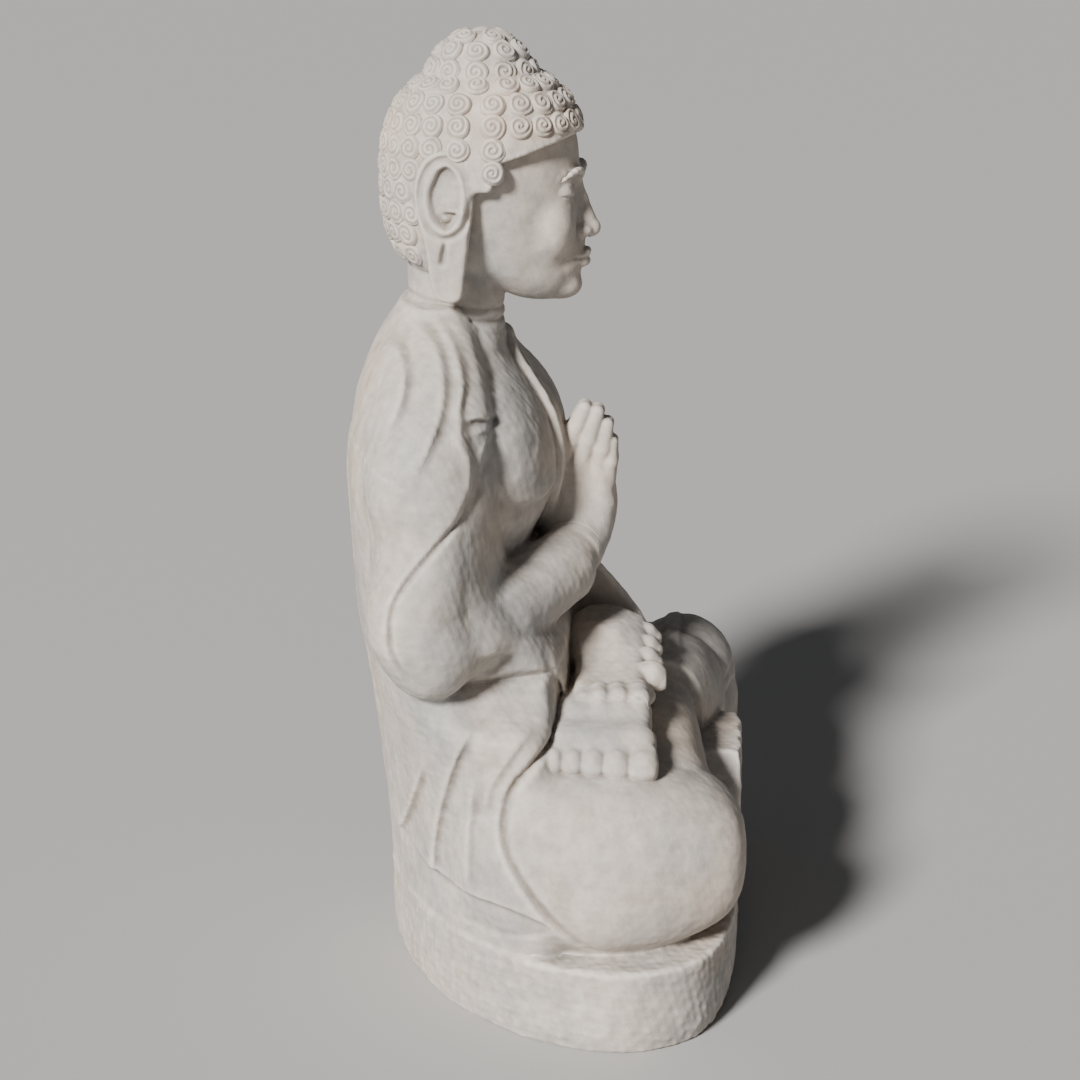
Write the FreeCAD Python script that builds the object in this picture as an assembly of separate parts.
"""Seated stone Buddha, hands joined in prayer, on a low rounded plinth.

Frame: millimetres, +Z up, the figure faces -Y, so its own right side is at -X.
The origin is on the floor, under the middle of the figure.
Each carved mass is its own closed solid, and neighbours meet face to face.
"""

import FreeCAD
import Part
import math
import os

Vector = FreeCAD.Vector

# ---- driving dimensions ----
TOTAL_HEIGHT = 1050.0
BACK_Y = 222.0
FRONT_Y = -222.0
PLINTH_TOP = 100.0
PLINTH_HALF_WIDTH = 307.0
SHOULDER_Z = 655.0
ELBOW = (234.0, 117.0, 444.0)
WRIST = (26.0, -32.0, 486.0)
KNEE = (202.0, -118.0, 196.0)
HEAD_CENTRE = (0.0, 76.0, 895.0)
HAIR_HALF = (98.0, 110.0, 118.0)
HAIR_POWER = 2.6
USHNISHA_HALF = (58.0, 62.0, 65.0)
CURL_RADIUS = 12.5
CURL_HEIGHT = 5.0

RIGHT, LEFT = -1, 1
SECTION_POINTS = 20


# ---- helpers ----
def closed_wire(points):
    """A closed smooth curve through the points."""
    curve = Part.BSplineCurve()
    curve.interpolate(Points=points, PeriodicFlag=True)
    return Part.Wire([curve.toShape()])


def oval(z, half_width, front, back, front_power=2.3, back_power=2.3, widest=None):
    """A level section, widest at y = widest and squarer where its power is higher."""
    middle = (front + back) / 2 if widest is None else widest
    points = []
    for i in range(SECTION_POINTS):
        angle = 2 * math.pi * i / SECTION_POINTS
        c, s = math.cos(angle), math.sin(angle)
        power = back_power if s > 0 else front_power
        reach = back - middle if s > 0 else middle - front
        x = half_width * math.copysign(abs(c) ** (2 / power), c)
        y = middle + reach * math.copysign(abs(s) ** (2 / power), s)
        points.append(Vector(x, y, z))
    return closed_wire(points)


def loft(wires):
    """A closed solid through the section wires."""
    return Part.makeLoft(wires, True, False)


def tilted_oval(centre, along, across, half_across, half_other, power=2.0):
    """A section at right angles to along, with half_across measured along across."""
    along = Vector(along).normalize()
    across = (across - along * across.dot(along)).normalize()
    other = along.cross(across)
    points = []
    for i in range(SECTION_POINTS):
        angle = 2 * math.pi * i / SECTION_POINTS
        c, s = math.cos(angle), math.sin(angle)
        u = half_across * math.copysign(abs(c) ** (2 / power), c)
        v = half_other * math.copysign(abs(s) ** (2 / power), s)
        points.append(centre + across * u + other * v)
    return closed_wire(points)


END_STEPS = ((0.95, 0.30), (0.62, 0.78))


def limb(stations, across, power=2.0):
    """A round-ended limb. A station is x, y, z, half size along across, other half size."""
    places = [Vector(*s[:3]) for s in stations]
    sections = []
    last = len(stations) - 1
    for i, station in enumerate(stations):
        before, after = places[max(i - 1, 0)], places[min(i + 1, last)]
        along = (after - before).normalize()
        a, b = station[3], station[4]
        reach = min(a, b)
        if i == 0:
            for step, share in END_STEPS:
                centre = places[0] - along * reach * step
                sections.append(tilted_oval(centre, along, across, a * share, b * share, power))
        sections.append(tilted_oval(places[i], along, across, a, b, power))
        if i == last:
            for step, share in reversed(END_STEPS):
                centre = places[i] + along * reach * step
                sections.append(tilted_oval(centre, along, across, a * share, b * share, power))
    return loft(sections)


def mirrored(shape):
    """The same shape on the other side of the figure."""
    return shape.mirror(Vector(0, 0, 0), Vector(1, 0, 0))


def on_side(side, stations):
    """Stations given for the left side, moved to the side asked for."""
    return [(side * s[0], *s[1:]) for s in stations]


CRUMB_SHARE = 0.05


def solid_of(shape):
    """The solids of a cut result as one shape, without loose faces or crumbs."""
    biggest = max(s.Volume for s in shape.Solids)
    solids = [s for s in shape.Solids if s.Volume > CRUMB_SHARE * biggest]
    return solids[0] if len(solids) == 1 else Part.makeCompound(solids)


def less(shape, *others):
    """The shape with the others cut away."""
    for other in others:
        shape = shape.cut(other)
    return solid_of(shape)


def side_prism(outline_yz, reach=400.0):
    """A prism along X over an outline of (y, z) points."""
    points = [Vector(-reach, y, z) for y, z in outline_yz]
    face = Part.Face(Part.makePolygon(points + points[:1]))
    return face.extrude(Vector(2 * reach, 0, 0))


def box(low, high):
    """A box between two corners."""
    size = [b - a for a, b in zip(low, high)]
    return Part.makeBox(*size, Vector(*low))


def ellipsoid(centre, halves):
    """A ball stretched to three half sizes."""
    stretch = FreeCAD.Matrix()
    stretch.scale(*halves)
    ball = Part.makeSphere(1.0).transformGeometry(stretch)
    return ball.translate(Vector(*centre))


ABOVE_PLINTH = box((-500, -500, PLINTH_TOP), (500, 500, 1200))


# ---- plinth ----
PLINTH_HALF_PLAN = (
    (60, 181), (120, 158), (174, 129), (233, 78), (277, 19), (303, -50),
    (PLINTH_HALF_WIDTH, -85), (300, -125), (266, -176), (200, -206), (100, -219),
)
PLINTH_BACK_Y = 190.0
PLINTH_SCALES = ((0.0, 0.972), (14.0, 0.988), (60.0, 0.997), (PLINTH_TOP, 1.0))


def plinth():
    """A rounded slab, widest under the knees and narrower at the back."""
    sections = []
    for z, scale in PLINTH_SCALES:
        half = [(x * scale, y * scale, z) for x, y in PLINTH_HALF_PLAN]
        plan = [(0, PLINTH_BACK_Y * scale, z)] + half + [(0, FRONT_Y * scale, z)]
        plan += [(-x, y, h) for x, y, h in reversed(half)]
        sections.append(closed_wire([Vector(*p) for p in plan]))
    return loft(sections)


# ---- trunk: z, half width, front, back ----
TORSO_SECTIONS = (
    (330, 142, -5, 170), (400, 133, 8, 180), (460, 131, 16, 185), (512, 137, 16, 190),
    (545, 147, 0, 192), (598, 153, -7, 192), (645, 156, 6, 190),
    (682, 135, 32, 180), (712, 88, 52, 166), (735, 62, 60, 160),
)


def torso_loft(extra=0.0):
    """The chest and belly down into the hips, grown outwards by extra."""
    return loft([oval(z, a + extra, f - extra, b, 2.6, 2.2) for z, a, f, b in TORSO_SECTIONS])


# z, half width, front, back, y where it is widest, power of the back half
ROBE_WAIST = (390.0, 252, -22, 212, 70, 2.1)
SKIRT_SECTIONS = (
    (PLINTH_TOP, 276, -34, 190, -8, 1.62), (170, 272, -34, 194, -4, 1.66),
    (240, 266, -32, 200, 6, 1.75), (320, 258, -28, 206, 36, 1.92), ROBE_WAIST,
)
ROBE_SECTIONS = (
    ROBE_WAIST, (440, 248, 8, 217, 92, 2.25), (490, 243, 40, 219, 104, 2.3),
    (560, 234, 42, BACK_Y, 116, 2.3), (615, 222, 42, BACK_Y, 122, 2.3),
    (662, 202, 48, 215, 124, 2.25), (704, 164, 62, 202, 126, 2.2),
    (738, 112, 78, 184, 128, 2.2), (764, 74, 92, 167, 130, 2.2),
)
ROBE_FRONT_POWER = 3.4


def robe_loft(sections):
    """The outer envelope of the robe over the given levels."""
    return loft([oval(z, a, f, b, ROBE_FRONT_POWER, p, w) for z, a, f, b, w, p in sections])


LAPEL_THICKNESS = 8.0
LAPEL_OUTLINE_XZ = (
    (16, 722), (-10, 690), (-32, 650), (-44, 610), (-44, 560), (-20, 505), (200, 505), (200, 722),
)


def robe_left_lapel(*neighbours):
    """The robe's edge where it crosses the left side of the chest."""
    points = [Vector(x, -60, z) for x, z in LAPEL_OUTLINE_XZ]
    face = Part.Face(Part.makePolygon(points + points[:1]))
    region = face.extrude(Vector(0, 180, 0))
    return less(torso_loft(LAPEL_THICKNESS).common(region), *neighbours)


# ---- arms and hands ----
ARM_STATIONS = (
    (176, 126, SHOULDER_Z - 30, 54, 56), (200, 126, 580, 53, 54), (220, 124, 515, 50, 51),
    (*ELBOW, 47, 48), (196, 86, 440, 46, 46), (136, 43, 452, 42, 42),
    (78, 2, 470, 34, 35), (*WRIST, 25, 30),
)
SLEEVE_THICKNESS = 8.0


def arm(side, extra=0.0, stations=len(ARM_STATIONS)):
    """Shoulder to wrist, bent at the elbow, grown outwards by extra."""
    grown = [(*s[:3], s[3] + extra, s[4] + extra) for s in ARM_STATIONS[:stations]]
    return limb(on_side(side, grown), Vector(1, 0, 0.35 * side))


SLEEVE_EDGE_YZ = (
    (60, 740), (70, 640), (71, 602), (86, 573), (113, 541), (143, 508), (154, 471),
    (143, 431), (122, 403),
)


def right_sleeve(*neighbours):
    """The cloth over the right upper arm, its edge running back past the elbow."""
    grown = arm(RIGHT, SLEEVE_THICKNESS)
    region = side_prism((*SLEEVE_EDGE_YZ, (260, 403), (260, 740)))
    return less(grown.common(region), *neighbours)


# x, then the outline in y, z of the cloth that hangs from the left forearm
HANGING_SECTIONS = (
    (34, ((-30, 470), (-56, 440), (-86, 404), (-110, 368), (-100, 318), (-30, 318), (0, 400))),
    (110, ((16, 470), (-28, 430), (-62, 384), (-64, 318), (30, 318), (50, 400))),
    (190, ((82, 440), (42, 400), (8, 350), (6, 300), (80, 300), (108, 380))),
)


def left_sleeve(*neighbours):
    """The sleeve round the left arm, from the shoulder almost to the wrist."""
    grown = arm(LEFT, SLEEVE_THICKNESS, len(ARM_STATIONS) - 1)
    return less(grown, *neighbours)


def left_sleeve_fall(*neighbours):
    """The wide end of the left sleeve, hanging from the forearm to the thigh."""
    wires = [closed_wire([Vector(x, y, z) for y, z in outline]) for x, outline in HANGING_SECTIONS]
    return less(loft(wires), *neighbours)


HAND_THICKNESS = 25.0
PALM_OUTLINE_YZ = (
    (15, 492), (15, 524), (11, 556), (2, 578), (-22, 588), (-48, 584), (-66, 566),
    (-69, 530), (-65, 496), (-54, 478), (-20, 474),
)
FINGERS = (
    ((-8, 568), (-34, 640), 10.5), ((-31, 570), (-49, 636), 10.0),
    ((-51, 564), (-60, 622), 9.0), ((-62, 552), (-66, 600), 7.5),
)
THUMB = ((5, 520), (2, 584), 9.0)


def hand(side):
    """One hand, its palm on the middle plane and its fingers pointing up."""
    middle = HAND_THICKNESS / 2
    palm = closed_wire([Vector(0, y, z) for y, z in PALM_OUTLINE_YZ])
    shape = Part.Face(palm).extrude(Vector(HAND_THICKNESS, 0, 0))
    for (y0, z0), (y1, z1), radius in (*FINGERS, THUMB):
        stations = [
            (middle, y0, z0, radius + 1.5, middle - 0.5),
            (middle - 1, (y0 + y1) / 2, (z0 + z1) / 2, radius, middle - 1.2),
            (middle - 3, y1, z1, radius - 2, middle - 4),
        ]
        shape = shape.fuse(limb(stations, Vector(0, 1, 0), 2.2))
    shape = solid_of(shape.common(box((0, -200, 400), (200, 200, 800))))
    return shape if side == LEFT else mirrored(shape)


# ---- legs and feet ----
THIGH_STATIONS = (
    (148, 44, 198, 84, 92), (178, 10, 197, 97, 101), (197, -34, 196, 103, 104),
    (KNEE[0] + 1, -84, KNEE[2], 102, 104), (196, -132, 195, 92, 98),
)
LEFT_SHIN_STATIONS = (
    (186, -132, 200, 74, 84), (112, -136, 246, 66, 80), (44, -132, 272, 58, 66),
    (8, -126, 282, 50, 58),
)
RIGHT_SHIN_STATIONS = (
    (186, -130, 197, 72, 84), (112, -122, 236, 60, 78), (44, -120, 256, 52, 64),
    (8, -118, 262, 46, 56),
)
LEFT_KNEECAP_CENTRE, LEFT_KNEECAP_HALF = (200.0, -150.0, 242.0), (92.0, 68.0, 73.0)


def leg(side):
    """Thigh and folded shin as one round mass. The left knee, on top of the foot below, is fuller."""
    thigh = limb(on_side(side, THIGH_STATIONS), Vector(1, 0, 0), 2.5)
    shin_stations = LEFT_SHIN_STATIONS if side == LEFT else RIGHT_SHIN_STATIONS
    shin = limb(on_side(side, shin_stations), Vector(0, 1, 0), 2.2)
    folded = thigh.fuse(shin)
    if side == LEFT:
        folded = folded.fuse(ellipsoid(LEFT_KNEECAP_CENTRE, LEFT_KNEECAP_HALF))
        return folded.common(box((0, -400, 0), (400, 400, 500)))
    return folded.common(box((-400, -400, 0), (0, 400, 500)))


LEFT_FOOT_STATIONS = (
    (-36, -66, 326, 36, 26), (-88, -67, 328, 42, 26), (-140, -67, 328, 48, 24),
    (-186, -67, 321, 56, 21),
)
LEFT_TOES = ((-109, 16.5), (-79, 13.5), (-54, 12.0), (-32, 11.0), (-13, 9.5))
LEFT_TOE_BASE_X, LEFT_TOE_TIP_X, LEFT_TOE_Z = -196.0, -232.0, 312.0


def left_foot():
    """The left foot on the right thigh, sole up and toes to the right."""
    shape = limb(LEFT_FOOT_STATIONS, Vector(0, 1, 0), 2.8)
    for y, radius in LEFT_TOES:
        stations = [
            (LEFT_TOE_BASE_X, y, LEFT_TOE_Z + 6, radius, 14),
            (LEFT_TOE_TIP_X, y - 1, LEFT_TOE_Z, radius - 1, 13),
        ]
        shape = shape.fuse(limb(stations, Vector(0, 1, 0)))
    return shape


RIGHT_FOOT_WIDTH_WAY = Vector(-0.978, 0, -0.208)
RIGHT_FOOT_STATIONS = (
    (-50, 20, 346, 56, 24), (-62, -22, 350, 74, 26), (-74, -62, 352, 84, 26),
    (-77, -86, 352, 84, 24),
)
RIGHT_TOES = ((56, 12.5), (24, 14.0), (-8, 12.5), (-34, 12.0), (-58, 11.5))
RIGHT_TOE_BASE, RIGHT_TOE_LENGTH = Vector(-76, -96, 356), 12.0


def right_foot():
    """The right foot across the lap, sole up and toes forward."""
    shape = limb(RIGHT_FOOT_STATIONS, RIGHT_FOOT_WIDTH_WAY, 2.6)
    for offset, radius in RIGHT_TOES:
        base = RIGHT_TOE_BASE + RIGHT_FOOT_WIDTH_WAY * offset
        tip = base + Vector(0, -RIGHT_TOE_LENGTH, 0)
        stations = [(*base, radius, 13), (*tip, radius - 1, 11)]
        shape = shape.fuse(limb(stations, RIGHT_FOOT_WIDTH_WAY))
    return shape


# ---- cloth fan between the knees ----
FAN_HALF_BOTTOM, FAN_HALF_TOP, FAN_TOP, FAN_BACK_Y = 122.0, 58.0, 252.0, -150.0
FAN_PLEATS, PLEAT_DEPTH, FAN_BOW = 7, 5.0, 14.0


def front_drapery():
    """The pleated hem that hangs in front between the crossed shins."""

    def front_point(share, depth):
        return Vector(FAN_HALF_BOTTOM * share, FRONT_Y + 1 + FAN_BOW * share ** 4 + depth, PLINTH_TOP)

    valleys = [front_point(2 * i / FAN_PLEATS - 1, PLEAT_DEPTH) for i in range(FAN_PLEATS + 1)]
    ridges = [front_point((2 * i + 1) / FAN_PLEATS - 1, 0) for i in range(FAN_PLEATS)]
    edges = [Part.Arc(a, r, b).toShape() for a, r, b in zip(valleys, ridges, valleys[1:])]
    back = [Vector(side * FAN_HALF_BOTTOM, FAN_BACK_Y, PLINTH_TOP) for side in (LEFT, RIGHT)]
    edges += Part.makePolygon([valleys[-1], *back, valleys[0]]).Edges
    prism = Part.Face(Part.Wire(edges)).extrude(Vector(0, 0, FAN_TOP - PLINTH_TOP))
    widths = ((FAN_HALF_BOTTOM, PLINTH_TOP), (FAN_HALF_TOP, FAN_TOP))
    left = [Vector(half, -300, z) for half, z in widths]
    right = [Vector(-half, -300, z) for half, z in reversed(widths)]
    fan = Part.Face(Part.makePolygon([*left, *right, left[0]])).extrude(Vector(0, 200, 0))
    return solid_of(prism.common(fan))


# ---- head ----
NECK_SECTIONS = ((716, 66, 54, 166), (738, 59, 54, 162), (765, 56, 54, 160), (806, 56, 54, 160))
CHIN_Z, CROWN_Z = 763.0, 1003.0
HEAD_SECTIONS = (
    (CHIN_Z, 16, -8, 30), (768, 28, -15, 48), (780, 42, -21, 70), (796, 54, -24, 110),
    (812, 62, -25, 150), (840, 71, -26, 166), (870, 78, -28, 172), (902, 82, -28, 175),
    (940, 80, -24, 172), (972, 66, -6, 154), (992, 44, 20, 130), (CROWN_Z, 20, 48, 102),
)
NOSE_STATIONS = ((0, -22, 882, 6, 8), (0, -30, 856, 9, 9), (0, -35, 838, 13, 10))


def neck():
    """A short round neck."""
    return loft([oval(z, a, f, b) for z, a, f, b in NECK_SECTIONS])


def head():
    """A plain egg-shaped head with a straight nose."""
    skull = loft([oval(z, a, f, b, 2.1, 2.2) for z, a, f, b in HEAD_SECTIONS])
    return skull.fuse(limb(NOSE_STATIONS, Vector(1, 0, 0)))


def hair_share(height_share):
    """How wide the hair is at a height, as a share of its widest."""
    return max(0.0, 1 - abs(height_share) ** HAIR_POWER) ** (1 / HAIR_POWER)


HAIR_HEIGHTS = (-0.98, -0.9, -0.72, -0.45, -0.15, 0.15, 0.45, 0.7, 0.86, 0.95, 0.99)
HAIR_SIDE_YZ = (
    (-80, 946), (-20, 944), (52, 921), (62, 888), (66, 870), (118, 870), (124, 790),
    (260, 790), (260, 1100), (-80, 1100),
)


def hair_cap(head_shape):
    """The cap of hair, from the brow over the crown to the nape."""
    cx, cy, cz = HEAD_CENTRE
    sections = []
    for h in HAIR_HEIGHTS:
        share = hair_share(h)
        half_x, half_y = HAIR_HALF[0] * share, HAIR_HALF[1] * share
        sections.append(oval(cz + HAIR_HALF[2] * h, half_x, cy - half_y, cy + half_y))
    region = side_prism(HAIR_SIDE_YZ)
    return loft(sections).common(region).cut(head_shape)


USHNISHA_CENTRE = (0.0, 78.0, TOTAL_HEIGHT - USHNISHA_HALF[2] - 2.5)


def ushnisha():
    """The bump on the crown."""
    return ellipsoid(USHNISHA_CENTRE, USHNISHA_HALF)


EAR_OUTLINE_YZ = (
    (106, 932), (86, 918), (80, 886), (86, 840), (91, 800), (95, 777), (110, 774),
    (124, 784), (129, 830), (136, 868), (138, 896), (128, 922),
)
EAR_HOLLOW_YZ = ((105, 919), (93, 905), (90, 880), (97, 856), (110, 852), (122, 870), (125, 898), (117, 914))
EAR_INNER_X, EAR_OUTER_X, EAR_HOLLOW_DEPTH = 74.0, 101.0, 8.0


def ear(side, *neighbours):
    """A long ear with a hollow and a tapering lobe."""
    outline = closed_wire([Vector(EAR_INNER_X, y, z) for y, z in EAR_OUTLINE_YZ])
    shape = Part.Face(outline).extrude(Vector(EAR_OUTER_X - EAR_INNER_X, 0, 0))
    hollow = closed_wire([Vector(EAR_OUTER_X - EAR_HOLLOW_DEPTH, y, z) for y, z in EAR_HOLLOW_YZ])
    shape = shape.cut(Part.Face(hollow).extrude(Vector(20, 0, 0)))
    shape = shape if side == LEFT else mirrored(shape)
    return less(shape, *neighbours)


CURL_PROFILE = (
    (0.0, 1.0), (0.16, 0.98), (0.26, 0.55), (0.40, 0.62), (0.52, 0.95), (0.62, 0.60),
    (0.74, 0.50), (0.88, 0.70), (1.0, 0.0),
)


def curl():
    """One snail-shell curl: a knob with a ring around it, standing on z = 0."""
    top = [Vector(r * CURL_RADIUS, 0, h * CURL_HEIGHT) for r, h in CURL_PROFILE]
    edge = Part.makePolygon([Vector(0, 0, 0), *top, Vector(0, 0, 0)])
    return Part.Face(edge).revolve(Vector(0, 0, 0), Vector(0, 0, 1), 360)


def cap_point(azimuth, height_share):
    """A point on the cap at an angle round the head, with its outward direction."""
    share = hair_share(height_share)
    c, s = math.cos(azimuth), math.sin(azimuth)
    power = 2 / 2.3
    x = HAIR_HALF[0] * share * math.copysign(abs(c) ** power, c)
    y = HAIR_HALF[1] * share * math.copysign(abs(s) ** power, s)
    z = HAIR_HALF[2] * height_share
    slope = HAIR_POWER - 1
    lift = math.copysign(abs(height_share) ** slope, height_share) / HAIR_HALF[2]
    flat = share ** slope
    out = Vector(flat * c / HAIR_HALF[0], flat * s / HAIR_HALF[1], lift).normalize()
    return Vector(*HEAD_CENTRE) + Vector(x, y, z), out


def crown_point(azimuth, tilt):
    """A point on the crown bump, with its outward direction."""
    a, b, c = USHNISHA_HALF
    unit = Vector(math.cos(azimuth) * math.cos(tilt), math.sin(azimuth) * math.cos(tilt), math.sin(tilt))
    place = Vector(*USHNISHA_CENTRE) + Vector(a * unit.x, b * unit.y, c * unit.z)
    return place, Vector(unit.x / a, unit.y / b, unit.z / c).normalize()


# Rows of curls: height as a share of the hair's half height, then how many go round the head.
CURL_ROWS = (
    (-0.64, 24), (-0.44, 25), (-0.246, 25), (-0.05, 25), (0.144, 25), (0.339, 24), (0.534, 23),
    (0.715, 20), (0.865, 16),
)
# Rows on the crown bump: angle above level, then how many go round it.
CROWN_ROWS = ((0.42, 12), (0.80, 9), (1.16, 5))
TOP_CAP_CURL_Z = 1006.0
HAIRLINE_Z, HAIRLINE_FALL = 954.0, 0.33
SIDEBURN_Y, SIDEBURN_Z = (52.0, 72.0), 900.0
EAR_BACK_Y, ABOVE_EAR_Z, NAPE_Z = 142.0, 930.0, 802.0


def is_hair(place):
    """True where the cap shows hair: above the brow line and behind the ear."""
    y, z = place.y, place.z
    if y < SIDEBURN_Y[0]:
        return z > HAIRLINE_Z - HAIRLINE_FALL * max(0.0, y + 20)
    if y < SIDEBURN_Y[1]:
        return z > SIDEBURN_Z
    if y < EAR_BACK_Y:
        return z > ABOVE_EAR_Z
    return z > NAPE_Z


def hair_curls():
    """All the curls as one group of separate solids."""
    shapes = []
    model = curl()
    for row, (height, count) in enumerate(CURL_ROWS):
        for i in range(count):
            place, out = cap_point(2 * math.pi * (i + 0.5 * (row % 2)) / count, height)
            if is_hair(place) and place.z < TOP_CAP_CURL_Z:
                shapes.append(stand(model, place, out))
    for row, (tilt, count) in enumerate(CROWN_ROWS):
        for i in range(count):
            shapes.append(stand(model, *crown_point(2 * math.pi * (i + 0.5 * (row % 2)) / count, tilt)))
    return Part.makeCompound(shapes)


def stand(model, place, out):
    """The curl moved to a place on the hair, its axis along out."""
    turned = model.copy()
    turned.Placement = FreeCAD.Placement(place, FreeCAD.Rotation(Vector(0, 0, 1), out))
    return turned


# ---- the whole figure ----
def build():
    """Every sub-part by node name."""
    torso, neck_shape, head_shape = torso_loft(), neck(), head()
    covered_torso = torso_loft(LAPEL_THICKNESS)
    robe, skirt = robe_loft(ROBE_SECTIONS), robe_loft(SKIRT_SECTIONS)
    arms = {"right_arm": arm(RIGHT), "left_arm": arm(LEFT)}
    sleeved_arm = arm(LEFT, SLEEVE_THICKNESS)
    hands = {"right_hand": hand(RIGHT), "left_hand": hand(LEFT)}
    legs = {"right_leg": leg(RIGHT), "left_leg": leg(LEFT)}
    feet = {"left_foot": left_foot(), "right_foot": right_foot()}
    above_waist = box((-500, -500, ROBE_WAIST[0]), (500, 500, 1200))
    parts = {"plinth": plinth(), "head": head_shape, "robe_skirt": skirt, **hands}

    parts["torso"] = solid_of(torso.common(above_waist))
    for name, shape in arms.items():
        parts[name] = less(shape, torso, *hands.values())
    parts["robe"] = less(robe, torso, *arms.values(), neck_shape)
    parts["right_sleeve"] = right_sleeve(arms["right_arm"], torso, robe)
    parts["left_sleeve"] = left_sleeve(arms["left_arm"], covered_torso, robe)
    fall_neighbours = (sleeved_arm, covered_torso, robe, skirt, legs["left_leg"], feet["right_foot"])
    parts["left_sleeve_fall"] = left_sleeve_fall(*fall_neighbours, *hands.values())
    parts["robe_left_lapel"] = robe_left_lapel(torso, robe, sleeved_arm)

    parts["left_foot"] = less(feet["left_foot"], *legs.values(), skirt)
    parts["right_foot"] = less(feet["right_foot"], feet["left_foot"], *legs.values(), skirt)
    for name, shape in legs.items():
        parts[name] = less(shape.common(ABOVE_PLINTH), skirt)
    parts["front_drapery"] = less(front_drapery(), legs["left_leg"].fuse(legs["right_leg"]))

    parts["neck"] = less(neck_shape, torso, head_shape)
    parts["hair_cap"] = less(hair_cap(head_shape), neck_shape)
    parts["ushnisha"] = less(ushnisha(), parts["hair_cap"], head_shape)
    parts["hair_curls"] = hair_curls()
    for name, side in (("right_ear", RIGHT), ("left_ear", LEFT)):
        parts[name] = ear(side, head_shape, parts["hair_cap"], neck_shape)
    return parts


if __name__ == "__main__":
    os.makedirs("parts", exist_ok=True)
    for name, shape in build().items():
        litres = shape.Volume / 1e6
        print(f"{name:18s} solids {len(shape.Solids):3d}  valid {shape.isValid()}  volume {litres:8.3f} l")
        shape.exportStep(f"parts/{name}.step")
